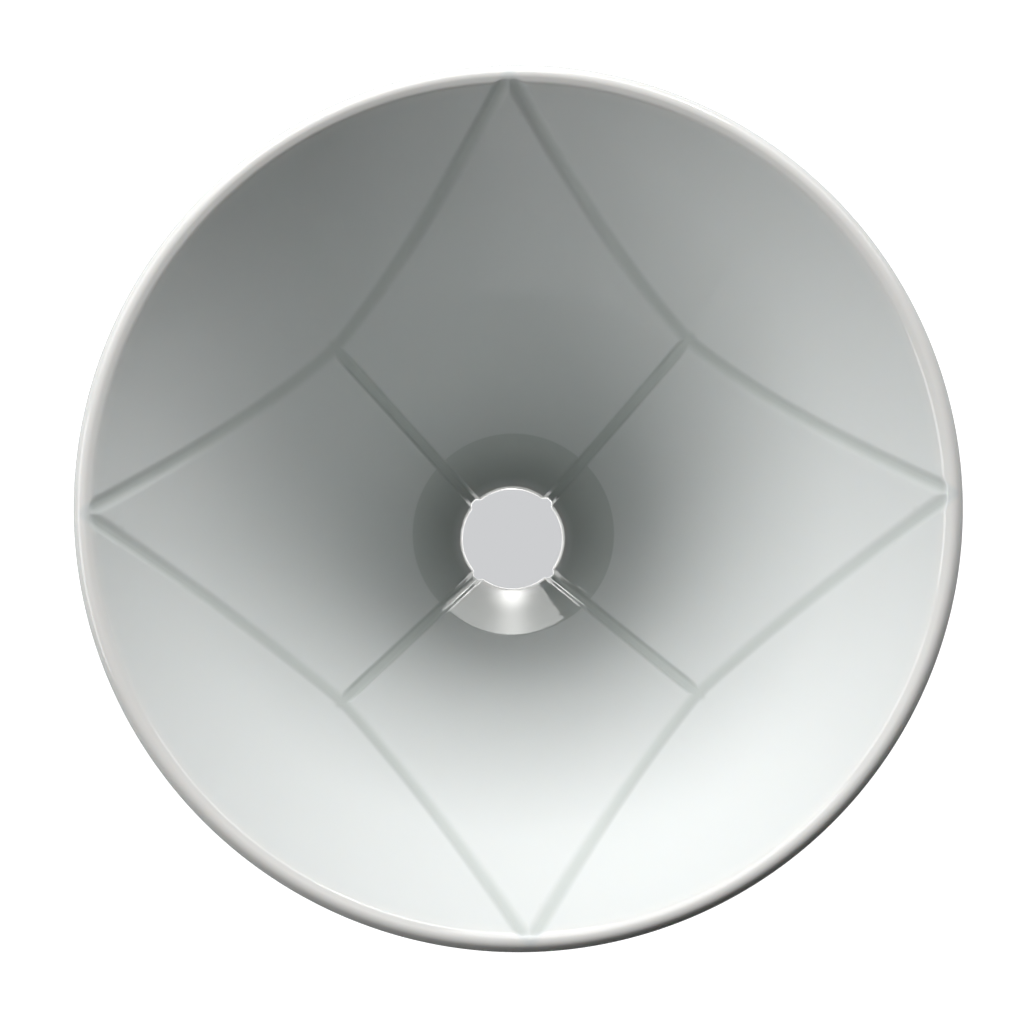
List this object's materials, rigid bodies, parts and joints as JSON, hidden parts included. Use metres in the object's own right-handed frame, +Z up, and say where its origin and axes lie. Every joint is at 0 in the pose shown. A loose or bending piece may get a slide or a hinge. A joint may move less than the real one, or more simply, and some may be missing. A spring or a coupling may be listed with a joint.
{
  "type": "pour over dripper",
  "caption": "Handle-less porcelain coffee dripper: a cone with a star of shallow channels and a notched outlet, lifting off a round footed base.",
  "frame": {"origin": "centre of the foot ring's underside, where the dripper stands", "axes": "+Z up along the cone's axis; the star's points lie on +X, -X, +Y and -Y; the base's windows face +Y and -Y"},
  "size_m": [0.116, 0.116, 0.096],
  "materials": {
    "cone_glaze": "clear gloss glaze over white porcelain",
    "base_glaze": "clear gloss glaze over white porcelain, foot left unglazed",
    "gasket_silicone": "satin moulded silicone",
    "pad_silicone": "matte moulded silicone"
  },
  "bodies": {
    "base": {"base_plate": "base_glaze", "grip_pad_1": "pad_silicone", "grip_pad_2": "pad_silicone", "grip_pad_3": "pad_silicone"},
    "gasket": {"seat_gasket": "gasket_silicone"},
    "cone": {"cone_body": "cone_glaze"}
  },
  "joints": [
    {"name": "gasket_lift", "type": "slide", "parent": "base", "child": "gasket", "axis": [0, 0, 1], "range_m": [0, 0.02]},
    {"name": "cone_lift", "type": "slide", "parent": "gasket", "child": "cone", "axis": [0, 0, 1], "range_m": [0, 0.06]}
  ]
}
